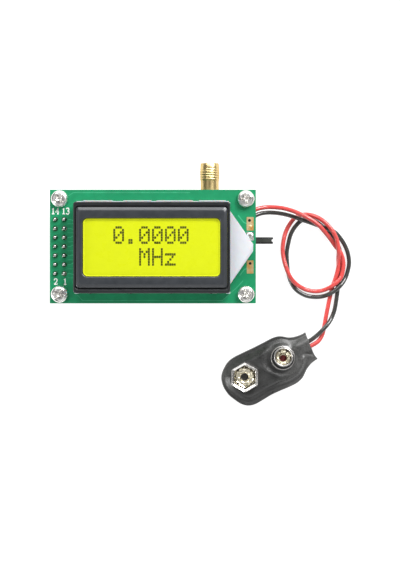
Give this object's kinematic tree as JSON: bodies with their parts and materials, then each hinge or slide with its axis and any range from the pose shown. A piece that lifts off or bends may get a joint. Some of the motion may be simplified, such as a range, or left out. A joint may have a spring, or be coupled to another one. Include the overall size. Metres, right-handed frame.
{
  "type": "frequency counter module",
  "caption": "Pocket radio frequency counter: character display stacked on a counter board, threaded coaxial jack, slide switch, leads to a snap battery clip.",
  "frame": {"origin": "on the surface that the counter stands on, under the centre of the counter's own box, jack and lever included, leads and clip left out", "axes": "+Z out of the display, +X to the reader's right, towards the slide switch, +Y up the display, towards the jack"},
  "size_m": [0.0876, 0.071, 0.0283],
  "materials": {
    "board": "glossy solder mask",
    "bezel": "semi-gloss paint on sheet steel",
    "glass": "polariser on glass, lit from behind",
    "white_plastic": "moulded, translucent white",
    "light_panel": "light guide",
    "zebra": "matt silicone",
    "nickel": "bright nickel plating",
    "gold": "gold plating or bright brass",
    "ptfe": "white fluoroplastic",
    "black_plastic": "moulded, black",
    "phenolic": "brown laminate",
    "epoxy": "moulded epoxy",
    "red_pvc": "soft vinyl sleeve",
    "black_pvc": "soft vinyl sleeve",
    "leatherette": "grained vinyl",
    "fibre": "vulcanised fibre",
    "aluminium": "satin can"
  },
  "bodies": {
    "counter": {"lcd_board": "board", "main_board": "board", "lcd_bezel": "bezel", "lcd_glass": "glass", "backlight_tray": "white_plastic", "power_socket": "white_plastic", "power_plug": "white_plastic", "light_panel": "light_panel", "backlight_led": "light_panel", "zebra_strip_upper": "zebra", "zebra_strip_lower": "zebra", "lcd_screw_1": "nickel", "lcd_screw_2": "nickel", "lcd_screw_3": "nickel", "lcd_screw_4": "nickel", "board_spacer_1": "nickel", "board_spacer_2": "nickel", "board_spacer_3": "nickel", "board_spacer_4": "nickel", "rear_standoff_1": "nickel", "rear_standoff_2": "nickel", "rear_standoff_3": "nickel", "rear_standoff_4": "nickel", "power_switch_shell": "nickel", "reference_crystal": "nickel", "snap_socket": "nickel", "snap_stud": "nickel", "sma_shell": "gold", "sma_contact": "gold", "socket_rivet": "gold", "stud_rivet": "gold", "sma_insulator": "ptfe", "contrast_trimmer_body": "ptfe", "header_socket": "black_plastic", "pin_header": "black_plastic", "left_key_housing": "black_plastic", "right_key_housing": "black_plastic", "power_switch_base": "phenolic", "driver_blob_left": "epoxy", "driver_blob_right": "epoxy", "microcontroller": "epoxy", "prescaler_chip": "epoxy", "voltage_regulator": "epoxy", "battery_lead_positive": "red_pvc", "battery_lead_negative": "black_pvc", "clip_back_cover": "leatherette", "clip_front_cover": "leatherette", "clip_plate": "fibre", "filter_capacitor": "aluminium"},
    "switch_lever": {"power_switch_lever": "black_plastic"},
    "left_key": {"left_key_button": "black_plastic"},
    "right_key": {"right_key_button": "black_plastic"},
    "trimmer_rotor": {"contrast_trimmer_rotor": "nickel"}
  },
  "joints": [
    {"name": "power_switch_slide", "type": "slide", "parent": "counter", "child": "switch_lever", "axis": [0, -1, 0], "range_m": [0, 0.002]},
    {"name": "left_key_press", "type": "slide", "parent": "counter", "child": "left_key", "axis": [0, 0, 1], "range_m": [0, 0.00025], "stiffness_N_per_m": 6400},
    {"name": "right_key_press", "type": "slide", "parent": "counter", "child": "right_key", "axis": [0, 0, 1], "range_m": [0, 0.00025], "stiffness_N_per_m": 6400},
    {"name": "contrast_trimmer_turn", "type": "hinge", "parent": "counter", "child": "trimmer_rotor", "pos_m": [0.0112, -0.0122, 0.004], "axis": [0, 0, 1], "range_deg": [-110, 110]}
  ]
}
